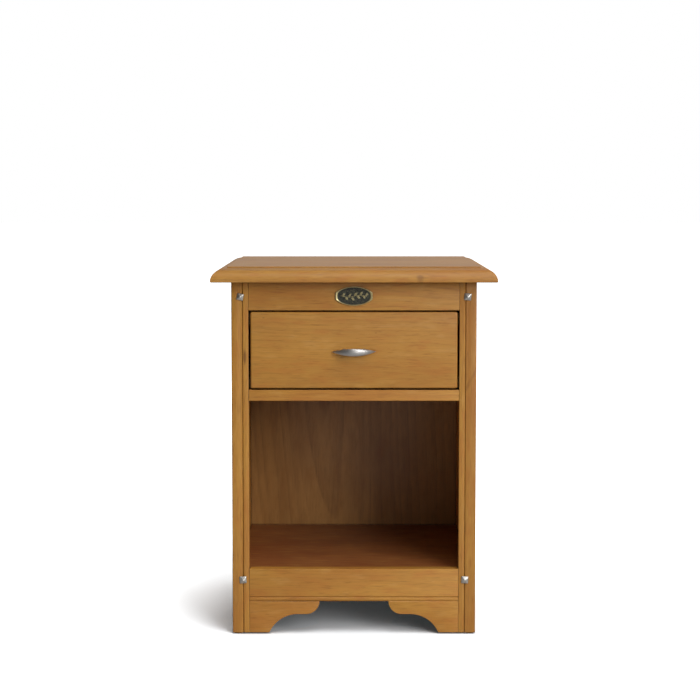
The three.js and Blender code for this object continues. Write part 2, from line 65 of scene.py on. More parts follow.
class Graph:
    """Writes one node tree. Most methods add nodes and return the last one's output."""

    def __init__(self, tree):
        self.tree = tree
        tree.nodes.clear()

    def feed(self, socket, value):
        if isinstance(value, bpy.types.NodeSocket):
            self.tree.links.new(value, socket)
        else:
            socket.default_value = value

    def add(self, kind, inputs=None, output=0, **settings):
        node = self.tree.nodes.new(kind)
        for key, value in settings.items():
            setattr(node, key, value)
        for name, value in (inputs or {}).items():
            self.feed(node.inputs[name], value)
        return node.outputs[output]

    def math(self, operation, *values):
        return self.add("ShaderNodeMath", dict(enumerate(values)), operation=operation)

    def vector(self, operation, *values, output=0):
        return self.add("ShaderNodeVectorMath", dict(enumerate(values)), output, operation=operation)

    def combine(self, x, y, z):
        return self.add("ShaderNodeCombineXYZ", {0: x, 1: y, 2: z})

    def separate(self, vector):
        first = self.add("ShaderNodeSeparateXYZ", {0: vector})
        return dict(zip("xyz", first.node.outputs))

    def place(self):
        """Where a point is in its own object, in metres."""
        return self.add("ShaderNodeTexCoord", output="Object")

    def noise(self, vector, scale, detail=2.0, seed=0.0):
        """Noise with one scale for each axis, or one for all."""
        scales = scale if isinstance(scale, tuple) else (scale, scale, scale)
        inputs = {
            "Vector": self.vector("MULTIPLY", vector, scales),
            "W": seed,
            "Scale": 1.0,
            "Detail": detail,
        }
        return self.add("ShaderNodeTexNoise", inputs, noise_dimensions="4D")

    def span(self, value, low, high, to_low=0.0, to_high=1.0, smooth=True):
        """Maps low..high to to_low..to_high, clamped."""
        kind = "SMOOTHSTEP" if smooth else "LINEAR"
        inputs = {
            "Value": value,
            "From Min": low,
            "From Max": high,
            "To Min": to_low,
            "To Max": to_high,
        }
        return self.add("ShaderNodeMapRange", inputs, interpolation_type=kind)

    def blend(self, factor, a, b):
        """Colour a turning into colour b. The Mix node has a set of sockets for each kind of data."""
        node = self.tree.nodes.new("ShaderNodeMix")
        node.data_type = "RGBA"
        for index, value in ((0, factor), (6, a), (7, b)):
            self.feed(node.inputs[index], value)
        return node.outputs[2]

    def curve(self, value, stops):
        """A grey ramp through (position, level) stops."""
        output = self.add("ShaderNodeValToRGB", {0: value})
        elements = output.node.color_ramp.elements
        while len(elements) < len(stops):
            elements.new(0.5)
        for element, (position, level) in zip(elements, stops):
            element.position = position
            element.color = (level, level, level, 1)
        return output

    def bump(self, height, distance, strength):
        inputs = {"Height": height, "Distance": distance, "Strength": strength}
        return self.add("ShaderNodeBump", inputs)

    def length(self, vector):
        return self.vector("LENGTH", vector, output="Value")

    def grey(self, level):
        """A number as a colour or vector with three equal parts."""
        return self.combine(level, level, level)

    def outer_edges(self, radius):
        """1 on outer edges and 0 on flats, from how far a rounded normal turns away."""
        rounded = self.add("ShaderNodeBevel", {"Radius": radius}, samples=BEVEL_SAMPLES)
        normal = self.add("ShaderNodeNewGeometry", output="Normal")
        kept = self.vector("DOT_PRODUCT", rounded, normal, output="Value")
        return self.span(kept, *EDGE_COSINES)

    def recesses(self, reach):
        """1 deep in joints and corners and 0 in the open."""
        inputs = {"Distance": reach}
        seen = self.add("ShaderNodeAmbientOcclusion", inputs, "AO", samples=RECESS_SAMPLES)
        return self.span(seen, *RECESS_SKY)

    def finish(self, shader, kind="ShaderNodeOutputMaterial"):
        out = self.tree.nodes.new(kind)
        self.tree.links.new(shader, out.inputs["Surface"])


def rgb(red, green, blue):
    """A colour given in 8-bit sRGB, as the linear RGBA that sockets take."""
    def linear(level):
        level /= 255
        return level / 12.92 if level <= 0.04045 else ((level + 0.055) / 1.055) ** 2.4
    return (linear(red), linear(green), linear(blue), 1.0)


def new_material(name):
    material = bpy.data.materials.new(name)
    material.use_nodes = True
    return material, Graph(material.node_tree)


# ------------------------------------------------------------------ wood

# How far one stave's cut of the log may lie from the next one's, in metres.
STAVE_SHIFT = {"across": 0.09, "through": 0.04, "along": 1.7}
# Where a glue line starts to fade and where it ends, from the joint between two staves.
GLUE_LINE = 0.1 * MM, 0.6 * MM
# How the rings wander: cells to the metre on each axis, detail, and how far, in metres.
RING_WANDER = (((8.0, 8.0, 2.2), 1.0, 0.034), ((55.0, 55.0, 12.0), 2.0, 0.0034))
# How unevenly the rings are spaced: cells to the metre, and how many rings the spacing may gain.
RING_SPACING = {"scale": 45.0, "amount": 2.2}
# How dark one ring is, from its pale early wood to the narrow dark line of its late wood.
LATE_WOOD = [(0.0, 0.2), (0.25, 0.0), (0.8, 0.75), (0.93, 1.0), (1.0, 0.2)]
FAINTEST_RING = 0.4
# The other figures: cells to the metre across, through and along the board, and detail.
FIGURE_NOISES = {
    "Dashes": ((330.0, 330.0, 32.0), 2.0),
    "Flecks": ((900.0, 900.0, 75.0), 1.0),
    "Fibre": ((1500.0, 1500.0, 30.0), 3.0),
    "Blotch": ((13.0, 13.0, 6.0), 2.0),
    "Mottle": ((95.0, 95.0, 26.0), 2.0),
}


def make_figure_group():
    """Growth rings about a pith line, as one board cuts them.

    Place is a point as (across, through, along) the board. Edge-glued boards have staves, which
    each come from another part of the log. Push swells the rings around a knot.
    """
    group = bpy.data.node_groups.new("PineFigure", "ShaderNodeTree")
    graph = Graph(group)
    for name in ("Place", "Pith", "Lean"):
        group.interface.new_socket(name, in_out="INPUT", socket_type="NodeSocketVector")
    for name in ("Ring", "Stave", "Seed", "Push"):
        group.interface.new_socket(name, in_out="INPUT", socket_type="NodeSocketFloat")
    for name in ("Rings", *FIGURE_NOISES, "Stave tone", "Glue line"):
        group.interface.new_socket(name, in_out="OUTPUT", socket_type="NodeSocketFloat")
    given = {o.name: o for o in graph.add("NodeGroupInput").node.outputs}
    place = graph.separate(given["Place"])
    pith = graph.separate(given["Pith"])
    lean = graph.separate(given["Lean"])
    seed = given["Seed"]

    stave_place = graph.math("ADD", graph.math("DIVIDE", place["x"], given["Stave"]), 0.5)
    stave = graph.math("FLOOR", stave_place)
    inside_stave = graph.math("FRACT", stave_place)
    draw = {"Vector": graph.combine(stave, seed, 0.0)}
    white = graph.add("ShaderNodeTexWhiteNoise", draw, "Color", noise_dimensions="3D")
    shuffle = graph.separate(graph.vector("SUBTRACT", white, (0.5, 0.5, 0.5)))
    to_edge = graph.math("MINIMUM", inside_stave, graph.math("SUBTRACT", 1.0, inside_stave))
    to_edge = graph.math("MULTIPLY", to_edge, given["Stave"])
    glue_line = graph.span(to_edge, *GLUE_LINE, 1.0, 0.0)

    along = graph.math("MULTIPLY_ADD", shuffle["z"], STAVE_SHIFT["along"], place["z"])
    moved = graph.combine(place["x"], place["y"], along)
    across = graph.math("SUBTRACT", place["x"], pith["x"])
    across = graph.math("MULTIPLY_ADD", shuffle["x"], STAVE_SHIFT["across"], across)
    across = graph.math("MULTIPLY_ADD", along, lean["x"], across)
    through = graph.math("SUBTRACT", place["y"], pith["y"])
    through = graph.math("MULTIPLY_ADD", shuffle["y"], STAVE_SHIFT["through"], through)
    through = graph.math("MULTIPLY_ADD", along, lean["y"], through)
    radius = graph.length(graph.combine(across, through, 0.0))
    for scale, detail, amount in RING_WANDER:
        wander = graph.math("SUBTRACT", graph.noise(moved, scale, detail, seed), 0.5)
        radius = graph.math("MULTIPLY_ADD", wander, amount, radius)
    radius = graph.math("ADD", radius, given["Push"])

    uneven = graph.noise(graph.combine(radius, 0.0, 0.0), RING_SPACING["scale"], 1.0, seed)
    turns = graph.math("DIVIDE", radius, given["Ring"])
    phase = graph.math("MULTIPLY_ADD", uneven, RING_SPACING["amount"], turns)
    late = graph.curve(graph.math("FRACT", phase), LATE_WOOD)
    count = {"W": graph.math("FLOOR", phase)}
    one_ring = graph.add("ShaderNodeTexWhiteNoise", count, noise_dimensions="1D")
    rings = graph.math("MULTIPLY", late, graph.span(one_ring, 0.0, 1.0, FAINTEST_RING, 1.0))

    made = {"Rings": rings, "Glue line": glue_line}
    made["Stave tone"] = graph.math("MULTIPLY_ADD", shuffle["y"], 0.6, shuffle["x"])
    for name, (scale, detail) in FIGURE_NOISES.items():
        made[name] = graph.noise(moved, scale, detail, seed)
    out = graph.tree.nodes.new("NodeGroupOutput")
    for name, value in made.items():
        graph.feed(out.inputs[name], value)
    return group


FIGURE = make_figure_group()
# A stave this wide, in metres, takes in the whole of any board.
NO_STAVES = 10.0

# A look: the wood's colours, how strongly each figure shows, and the finish on it. Its grime colour
# also stands for painted shade in recesses, and its edge colour also lays a painted highlight along
# worn edges.
HONEY = {
    "early": rgb(184, 130, 52), "late": rgb(136, 83, 26), "warm": rgb(176, 109, 42),
    "edge": rgb(208, 162, 92), "knot": rgb(82, 36, 12), "grime_and_shade": rgb(54, 18, 2),
    "rings": 0.34, "blotch": 0.55, "mottle": 0.5, "pale": 0.18, "dashes": 0.55, "flecks": 0.35,
    "roughness": (0.40, 0.55), "coat": 0.12,
}
RAW = {
    **HONEY,
    "early": rgb(222, 190, 142), "late": rgb(182, 136, 84), "warm": rgb(210, 164, 116),
    "edge": rgb(230, 206, 166), "knot": rgb(120, 74, 40), "grime_and_shade": rgb(120, 84, 48),
    "rings": 0.55, "pale": 0.3, "roughness": (0.6, 0.75), "coat": 0.0,
}
VENEER = {
    **HONEY,
    "early": rgb(168, 122, 66), "late": rgb(122, 82, 42), "warm": rgb(148, 101, 50),
    "rings": 0.7, "dashes": 0.2, "pale": 0.08,
}
# The shelf's look: a darker, redder copy of the honey stain, whose darkness is painted shade for the
# dim inside of the compartment.
SHADED_HONEY = {
    **HONEY,
    "early": rgb(146, 90, 46), "late": rgb(92, 44, 20), "warm": rgb(128, 62, 31),
}

# What is laid over the rings, in order: which figure, where it starts and is full, how much of it
# the look has, and its colour.
STAINS = (
    ("Blotch", 0.42, 0.75, "blotch", "warm"),
    ("Mottle", 0.48, 0.72, "mottle", "warm"),
    ("Mottle", 0.46, 0.28, "pale", "edge"),
    ("Dashes", 0.52, 0.80, "dashes", "late"),
    ("Flecks", 0.60, 0.75, "flecks", "late"),
)
# How far fibres, blotches and staves lighten or darken the wood.
TONE_SPREAD = {"fibre": 0.08, "blotch": 0.06, "stave": 0.10}
GRAIN_RELIEF = {"fibre": 0.45, "rings": 0.6, "glue line": 0.8, "depth": 0.12 * MM, "strength": 0.5}
# How wide the worn edges and their painted highlight are, and how far grime and painted shade reach
# into recesses; then how dark glue lines and that grime and painted shade get.
EDGE_WEAR_AND_HIGHLIGHT_RADIUS, GRIME_AND_SHADE_REACH = 1.6 * MM, 5 * MM
GLUE_DARKNESS, GRIME_AND_SHADE_DARKNESS = 0.35, 0.85


# A knot's place on its board, its radius across the grain, how much longer it is along the grain,
# how far it climbs as it goes through the board, and how dark its heart is.
Knot = namedtuple("Knot", "across through along radius stretch climb heart", defaults=(2.0, 0.0, 0.6))
# As shares of a knot's radius: how far it swirls the rings and by how much, and its heart's soft edge.
KNOT_SWIRL, KNOT_PUSH, KNOT_HEART = 5.0, 2.4, (0.4, 1.3)


def knot_field(graph, place, knots):
    """How far knots push the rings aside, and how dark their hearts are."""
    push, heart = 0.0, 0.0
    across, through, along = place
    for knot in knots:
        aside = graph.math("SUBTRACT", across, knot.across)
        deep = graph.math("SUBTRACT", through, knot.through)
        ahead = graph.math("SUBTRACT", along, knot.along)
        ahead = graph.math("MULTIPLY_ADD", deep, -knot.climb, ahead)
        ahead = graph.math("DIVIDE", ahead, knot.stretch)
        distance = graph.length(graph.combine(aside, ahead, 0.0))
        swirl = graph.span(distance, 0.0, knot.radius * KNOT_SWIRL, knot.radius * KNOT_PUSH, 0.0)
        push = graph.math("ADD", push, swirl)
        core, rim = (knot.radius * share for share in KNOT_HEART)
        heart = graph.math("MAXIMUM", heart, graph.span(distance, core, rim, knot.heart, 0.0))
    return push, heart


def pine(name, axes, pith, look=HONEY, ring=0.0055, lean=(0.0, 0.02), stave=NO_STAVES, seed=0.0,
         tone=1.0, knots=()):
    """One board's wood. axes names the row axes that run across, through and along the board."""
    material, graph = new_material(name)
    row = graph.separate(graph.place())
    across, through, along = (row[axis] for axis in axes)
    push, heart = knot_field(graph, (across, through, along), knots)
    figure = graph.add("ShaderNodeGroup", node_tree=FIGURE).node
    given = {"Place": graph.combine(across, through, along), "Pith": (*pith, 0.0), "Lean": (*lean, 0.0),
             "Ring": ring, "Stave": stave, "Seed": seed, "Push": push}
    for socket, value in given.items():
        graph.feed(figure.inputs[socket], value)
    out = figure.outputs

    rings = graph.math("MULTIPLY", out["Rings"], graph.span(out["Dashes"], 0.25, 0.7, 0.35, 1.0))
    colour = graph.blend(graph.math("MULTIPLY", rings, look["rings"]), look["early"], look["late"])
    for source, start, full, amount, stain in STAINS:
        cover = graph.span(out[source], start, full, 0.0, look[amount])
        colour = graph.blend(cover, colour, look[stain])
    fibre, blotch = TONE_SPREAD["fibre"], TONE_SPREAD["blotch"]
    shade = graph.math("ADD", graph.span(out["Fibre"], 0.25, 0.75, -fibre, fibre),
                       graph.span(out["Blotch"], 0.25, 0.75, blotch, -blotch))
    shade = graph.math("ADD", shade, tone)
    shade = graph.math("MULTIPLY_ADD", out["Stave tone"], TONE_SPREAD["stave"], shade)
    colour = graph.vector("MULTIPLY", colour, graph.grey(shade))
    colour = graph.blend(heart, colour, look["knot"])
    glue = graph.math("MULTIPLY", out["Glue line"], GLUE_DARKNESS)
    colour = graph.blend(glue, colour, look["knot"])
    # Worn edges with a painted highlight: outer edges turn towards the pale edge colour, in patches
    # along the grain.
    wear_and_highlight_patches = graph.span(out["Dashes"], 0.35, 0.65, 0.15, 0.6)
    worn = graph.math("MULTIPLY", graph.outer_edges(EDGE_WEAR_AND_HIGHLIGHT_RADIUS), wear_and_highlight_patches)
    colour = graph.blend(worn, colour, look["edge"])
    # Grime and painted shade: an ambient occlusion mask turns the wood towards its grime colour in
    # joints, corners and under overhangs, where shade falls.
    grime_and_shade = graph.math("MULTIPLY", graph.recesses(GRIME_AND_SHADE_REACH), GRIME_AND_SHADE_DARKNESS)
    colour = graph.blend(grime_and_shade, colour, look["grime_and_shade"])

    height = graph.math("MULTIPLY", rings, GRAIN_RELIEF["rings"])
    height = graph.math("MULTIPLY_ADD", out["Fibre"], GRAIN_RELIEF["fibre"], height)
    sunk = graph.math("MULTIPLY", out["Glue line"], GRAIN_RELIEF["glue line"])
    height = graph.math("SUBTRACT", height, sunk)
    shader = graph.add("ShaderNodeBsdfPrincipled", {
        "Base Color": colour,
        "Roughness": graph.span(out["Fibre"], 0.3, 0.7, *look["roughness"]),
        "Normal": graph.bump(height, GRAIN_RELIEF["depth"], GRAIN_RELIEF["strength"]),
        "Coat Weight": look["coat"],
        "Coat Roughness": 0.2,
        "IOR": 1.45,
    })
    graph.finish(shader)
    return material


# ------------------------------------------------------------------ meshes


def as_piece(name, mesh, material, body, replaced):
    """Makes an object that rides on a body and stands for one CAD node."""
    mesh.materials.clear()
    mesh.materials.append(material)
    piece = bpy.data.objects.new(name, mesh)
    bpy.context.scene.collection.objects.link(piece)
    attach(piece, body)
    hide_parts(replaced)
    return piece


def to_mesh(work, name, smooth=True):
    bmesh.ops.recalc_face_normals(work, faces=work.faces)
    mesh = bpy.data.meshes.new(name)
    work.to_mesh(mesh)
    work.free()
    if smooth:
        mesh.shade_smooth()
    return mesh


EASE_ANGLE, EASE_SEGMENTS = math.radians(40), 3


def ease_edges(piece, width):
    bevel = piece.modifiers.new("eased_edges", "BEVEL")
    bevel.width = width
    bevel.segments = EASE_SEGMENTS
    bevel.limit_method = "ANGLE"
    bevel.angle_limit = EASE_ANGLE
    bevel.harden_normals = True


WELD_DISTANCE, FLAT_ANGLE = 1e-6, math.radians(0.5)


def copied_board(node):
    """The CAD board's mesh with its coplanar triangles merged, so that its edges can be eased."""
    work = bmesh.new()
    work.from_mesh(NODES[node].data)
    bmesh.ops.remove_doubles(work, verts=work.verts, dist=WELD_DISTANCE)
    bmesh.ops.dissolve_limit(work, angle_limit=FLAT_ANGLE, verts=work.verts, edges=work.edges)
    return to_mesh(work, node + "_board")


def finished_board(node, material, ease, body="carcass", mesh=None):
    """A board with worn edges, from the CAD's mesh unless it has a finer one of its own."""
    piece = as_piece(node + "_board", mesh or copied_board(node), material, body, node)
    ease_edges(piece, ease)


def loft(work, rings):
    """Joins rings of points, which all have the same number, with quads."""
    made = [[work.verts.new(point) for point in ring] for ring in rings]
    for first, second in zip(made, made[1:]):
        for index in range(len(first)):
            following = (index + 1) % len(first)
            work.faces.new((first[index], first[following], second[following], second[index]))
    return made


def close_to_point(work, ring, point):
    """Closes a loft's end with triangles that meet at one point."""
    pole = work.verts.new(point)
    for index, vert in enumerate(ring):
        work.faces.new((vert, ring[(index + 1) % len(ring)], pole))


def lathe(work, profile, steps, centre, axis):
    """A turned solid. The profile is (radius, distance along the axis), from one end to the other."""
    turn = Vector(axis).to_track_quat("Z", "Y").to_matrix()
    centre = Vector(centre)

    def place(radius, angle, along):
        return centre + turn @ Vector((radius * math.cos(angle), radius * math.sin(angle), along))

    angles = [2 * math.pi * index / steps for index in range(steps)]
    rings = [[place(radius, a, along) for a in angles] for radius, along in profile if radius > 0]
    made = loft(work, rings)
    for end, (radius, along) in ((made[0], profile[0]), (made[-1], profile[-1])):
        if radius > 0:
            work.faces.new(end)
        else:
            close_to_point(work, end, place(0.0, 0.0, along))


# ------------------------------------------------------------------ top panel

THUMBNAIL = {"width": 26 * MM, "height": 21 * MM, "step": 2 * MM, "ease": 1 * MM, "steps": 26}


def thumbnail_profile():
    """The moulding as (distance in from the edge, depth below the flat), from the flat down."""
    width, height, step = THUMBNAIL["width"], THUMBNAIL["height"], THUMBNAIL["step"]
    points = [(width, 0.0), (width, step)]
    for index in range(1, THUMBNAIL["steps"] + 1):
        angle = 0.5 * math.pi * index / THUMBNAIL["steps"]
        points.append((width * (1 - math.sin(angle)), step + height * (1 - math.cos(angle))))
    return points


def top_panel_mesh():
    """A slab with the moulding mitred round its front and sides, and a square rear edge."""
    low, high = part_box("top_panel")
    thickness = high.z - low.z
    ease = THUMBNAIL["ease"]
    profile = thumbnail_profile() + [(0.0, thickness - ease), (ease, thickness)]
    work = bmesh.new()
    rings = []
    for inset, depth in profile:
        left, right, front, z = low.x + inset, high.x - inset, low.y + inset, high.z - depth
        rings.append([(left, front, z), (right, front, z), (right, high.y, z), (left, high.y, z)])
    made = loft(work, rings)
    work.faces.new(made[0])
    work.faces.new(made[-1])
    return to_mesh(work, "top_panel_board")


# ------------------------------------------------------------------ drawer front

FACE_ROUND = 3.0 * MM


def drawer_front_mesh():
    """The face board, with its front edges and its four corners rounded over."""
    low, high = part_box("drawer_front")
    centre, size = (low + high) / 2, high - low
    work = bmesh.new()
    bmesh.ops.create_cube(work, size=1.0)
    for vert in work.verts:
        vert.co = centre + Vector(a * b for a, b in zip(vert.co, size))
    rounded = [edge for edge in work.edges if any(vert.co.y < centre.y for vert in edge.verts)]
    bmesh.ops.bevel(work, geom=rounded, offset=FACE_ROUND, segments=6, profile=0.5, affect="EDGES",
                    clamp_overlap=True)
    return to_mesh(work, "drawer_front_board")


# ------------------------------------------------------------------ boards

TOP_KNOTS = [Knot(-0.2136, 0.60, 0.107, 0.0020, 3.2, heart=0.4)]
STILE_KNOTS = {
    "left": [Knot(-0.179, -0.18, 0.462, 0.0028, 4.5)],
    "right": [],
}
FACE_KNOTS = [
    Knot(0.5258, -0.18, -0.148, 0.0011, heart=0.4),
    Knot(0.5010, -0.18, 0.036, 0.0010, heart=0.3),
]
SIDE_KNOTS = {
    "left": [Knot(0.062, -0.20, 0.216, 0.0060)],
    "right": [
        Knot(-0.186, 0.192, 0.424, 0.0030, climb=1.9, heart=0.22),
        Knot(0.031, 0.20, 0.371, 0.0052),
    ],
}


def make_top():
    wood = pine("pine_top", "yzx", pith=(0.03, 0.52), stave=0.098, seed=3.0, lean=(0.01, 0.012),
                tone=0.96, knots=TOP_KNOTS)
    finished_board("top_panel", wood, 0.5 * MM, mesh=top_panel_mesh())


def make_sides():
    for index, (side, sign) in enumerate(SIDES):
        panel = pine(f"pine_side_{side}", "yxz", pith=(0.02, sign * 0.11), stave=0.092,
                     seed=11.0 + index, knots=SIDE_KNOTS[side])
        finished_board(f"side_panel_{side}", panel, 0.6 * MM)
        stile = pine(f"pine_stile_{side}", "xyz", pith=(sign * 0.05, -0.25), seed=17.0 + index,
                     ring=0.004, knots=STILE_KNOTS[side])
        finished_board(f"front_stile_{side}", stile, 0.6 * MM)


def make_rails():
    top_rail = pine("pine_top_rail", "zyx", pith=(0.60, -0.25), seed=21.0, tone=1.01)
    finished_board("top_rail", top_rail, 0.7 * MM)
    divider = pine("pine_divider", "zyx", pith=(0.34, -0.24), seed=23.0, tone=1.08)
    finished_board("drawer_divider_rail", divider, 1.0 * MM)
    apron = pine("pine_apron", "zyx", pith=(0.05, -0.25), seed=29.0, tone=1.08)
    finished_board("front_apron", apron, 0.5 * MM)


def make_shelf():
    wood = pine("pine_shelf", "yzx", pith=(0.0, 0.16), look=SHADED_HONEY, stave=0.088, seed=31.0)
    finished_board("bottom_shelf", wood, 0.7 * MM)


def make_drawer_front():
    wood = pine("pine_drawer_front", "zyx", pith=(0.46, -0.225), seed=37.0, ring=0.007,
                lean=(0.01, 0.05), tone=0.93, knots=FACE_KNOTS)
    finished_board("drawer_front", wood, 0.3 * MM, "drawer", mesh=drawer_front_mesh())


def make_thin_panels():
    back = pine("veneer_back", "xyz", pith=(-0.05, 0.155), look=VENEER, ring=0.016, seed=41.0,
                lean=(0.06, 0.10))
    finished_board("back_panel", back, 0.4 * MM)
    plain = {**RAW, "rings": 0.4}
    bottom = pine("veneer_bottom", "yzx", pith=(-0.02, 0.40), look=plain, ring=0.009, seed=43.0)
    finished_board("drawer_bottom", bottom, 0.3 * MM, "drawer")


# Plain framing: the boards of raw pine, by the way that their grain runs.
RAW_ALONG_Y = [
    "drawer_runner", "drawer_guide", "drawer_kicker", "shelf_cleat", "top_cleat", "drawer_side",
]
RAW_ALONG_Z = ["corner_block", "drawer_rear_stop"]
RAW_ALONG_X = [
    "rear_top_rail", "rear_base_rail", "drawer_stop_tab", "drawer_box_front", "drawer_box_back",
]
DRAWER_BOARDS = ["drawer_side", "drawer_box_front", "drawer_box_back"]


def make_raw_boards():
    woods = [
        (pine("raw_pine_y", "zxy", pith=(0.40, 0.10), look=RAW, seed=51.0), RAW_ALONG_Y, True),
        (pine("raw_pine_z", "xyz", pith=(0.10, 0.10), look=RAW, seed=52.0), RAW_ALONG_Z, True),
        (pine("raw_pine_x", "zyx", pith=(0.30, 0.02), look=RAW, seed=53.0), RAW_ALONG_X, False),
    ]
    for material, stems, paired in woods:
        for stem in stems:
            body = "drawer" if stem in DRAWER_BOARDS else "carcass"
            for node in [f"{stem}_{side}" for side, _ in SIDES] if paired else [stem]:
                finished_board(node, material, 0.6 * MM, body)


make_top()
make_sides()
make_rails()
make_shelf()
make_drawer_front()
make_thin_panels()
make_raw_boards()


# ------------------------------------------------------------------ metal

# Cells to the metre of the tarnish, and of the brush marks, which run along X.
TARNISH_CLOUDS = 170.0
BRUSH_MARKS = (260.0, 2600.0, 2600.0)
METAL_WEAR, METAL_GRIME = 0.6 * MM, 2.5 * MM
MARK_DEPTH = 0.03


def metal(name, base, dark, roughness, tarnish=0.5, dents=0.0, relief=0.4):
    """Plated metal: cloudy tarnish, fine brush marks along X, and bright worn edges."""
    material, graph = new_material(name)
    place = graph.place()
    cloud = graph.noise(place, TARNISH_CLOUDS, 4.0)
    marks = graph.noise(place, BRUSH_MARKS, 3.0)
    recess = graph.recesses(METAL_GRIME)
    tarnished = graph.math("MAXIMUM", graph.span(cloud, 0.4, 0.8, 0.0, tarnish), recess)
    colour = graph.blend(tarnished, base, dark)
    colour = graph.blend(graph.outer_edges(METAL_WEAR), colour, base)
    rough = graph.math("ADD", graph.span(cloud, 0.3, 0.7, roughness - 0.04, roughness + 0.08),
                       graph.span(marks, 0.3, 0.7, -0.03, 0.03))
    height = graph.math("MULTIPLY_ADD", cloud, dents, graph.math("MULTIPLY", marks, MARK_DEPTH))
    shader = graph.add("ShaderNodeBsdfPrincipled", {
        "Base Color": colour,
        "Metallic": 1.0,
        "Roughness": rough,
        "Normal": graph.bump(height, 1 * MM, relief),
    })
    graph.finish(shader)
    return material


SATIN_NICKEL = metal("satin_nickel", rgb(188, 185, 182), rgb(128, 125, 121), roughness=0.43,
                     tarnish=0.25, relief=0.1)
PEWTER = metal("pewter", rgb(208, 205, 198), rgb(84, 80, 76), roughness=0.42, dents=0.3)
ZINC = metal("zinc_steel", rgb(190, 190, 192), rgb(110, 110, 112), roughness=0.3)


# ------------------------------------------------------------------ drawer pull

PULL = {
    "gap": 1.2 * MM,  # between its tips and the drawer front
    "outline": 0.92,  # the power of its lens outline: a smaller one is fuller
    "blade": 4.6 * MM,  # its thickness in the middle
    "tip": 0.25,  # its thickness at the tips, as a share of that
    "crown": 0.75,  # the power of its rounded outside: a smaller one is fuller
    "inside": 0.35,  # how deep its inside is rounded, against its outside
    "ahead": 0.74,  # the outside's share of the thickness
    "tilt": math.radians(-0.5),
    "drop": 0.7 * MM,
}
PULL_STEPS, SECTION_STEPS = 64, 24
# A post is thinner by its waist, partway along, and ends sunk into the blade.
POST = {
    "radius": 4 * MM, "spacing": 32 * MM, "steps": 32,
    "waist": 0.3 * MM, "waist_at": 0.7, "sunk": 0.6,
}
# A post's turned foot: how much wider than the post it is, and how far from the drawer front.
POST_FOOT = [(0.8 * MM, 0.0), (0.8 * MM, 0.6 * MM), (0.2 * MM, 1.4 * MM), (-0.4 * MM, 3.0 * MM)]


def pull_section(turn):
    """How far the section stands ahead of its widest line, as a share of its thickness."""
    crown = math.cos(turn)
    return PULL["ahead"] * (crown ** PULL["crown"] if crown > 0 else PULL["inside"] * crown)


def pull_blade(work, middle, wall, reach, half_height, rise):
    """The bow: a lens from the front and an arc from above, pointed at both ends."""
    rings = []
    for step in range(1, PULL_STEPS):
        along = -math.cos(math.pi * step / PULL_STEPS)
        lens = 1 - along * along
        tall = half_height * lens ** PULL["outline"]
        front = wall - rise * lens
        thick = PULL["blade"] * (PULL["tip"] + (1 - PULL["tip"]) * lens)
        ring = []
        for index in range(SECTION_STEPS):
            turn = 2 * math.pi * index / SECTION_STEPS
            y = front + thick * (PULL["ahead"] - pull_section(turn))
            ring.append((middle.x + reach * along, y, middle.z + tall * math.sin(turn)))
        rings.append(ring)
    made = loft(work, rings)
    for end, sign in ((made[0], -1), (made[-1], 1)):
        close_to_point(work, end, (middle.x + sign * reach, wall, middle.z))


def pull_mesh():
    """A bow with a crowned outside and a flatter inside, on two turned posts."""
    low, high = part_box("handle")
    centre = (low + high) / 2
    reach, half_height = (high.x - low.x) / 2, (high.z - low.z) / 2
    wall = high.y - PULL["gap"]
    rise = wall - low.y
    work = bmesh.new()
    pull_blade(work, centre, wall, reach, half_height, rise)
    bow_at_post = rise * (1 - (POST["spacing"] / 2 / reach) ** 2)
    post_reach = PULL["gap"] + bow_at_post - PULL["blade"] * POST["sunk"]
    profile = [(POST["radius"] + wider, along) for wider, along in POST_FOOT]
    profile.append((POST["radius"] - POST["waist"], post_reach * POST["waist_at"]))
    profile.append((POST["radius"], post_reach))
    for _, sign in SIDES:
        foot = (centre.x + sign * POST["spacing"] / 2, high.y, centre.z)
        lathe(work, profile, POST["steps"], foot, (0, -1, 0))
    spin = Matrix.Rotation(PULL["tilt"], 4, "Y")
    bmesh.ops.transform(work, matrix=spin, space=Matrix.Translation(-centre), verts=work.verts)
    bmesh.ops.translate(work, vec=(0, 0, -PULL["drop"]), verts=work.verts)
    return to_mesh(work, "pull")


as_piece("crescent_pull", pull_mesh(), SATIN_NICKEL, "drawer", "handle")


# ------------------------------------------------------------------ studs

STUD_HEAD = {"rim": 1.0 * MM, "ease": 1.1 * MM}
# How far a head's point may be off its middle, in millimetres.
OFF_CENTRE = 0.5
STUD_SHANK = {"radius": 1.5 * MM, "straight": 9 * MM, "length": 12 * MM, "steps": 16}
# How far each head is turned, in degrees, and its size against the CAD's, as if made by hand.
STUDS = {
    "stud_upper_left": (13.0, 1.02),
    "stud_upper_right": (5.0, 1.06),
    "stud_lower_left": (-4.0, 1.06),
    "stud_lower_right": (3.0, 1.06),
}


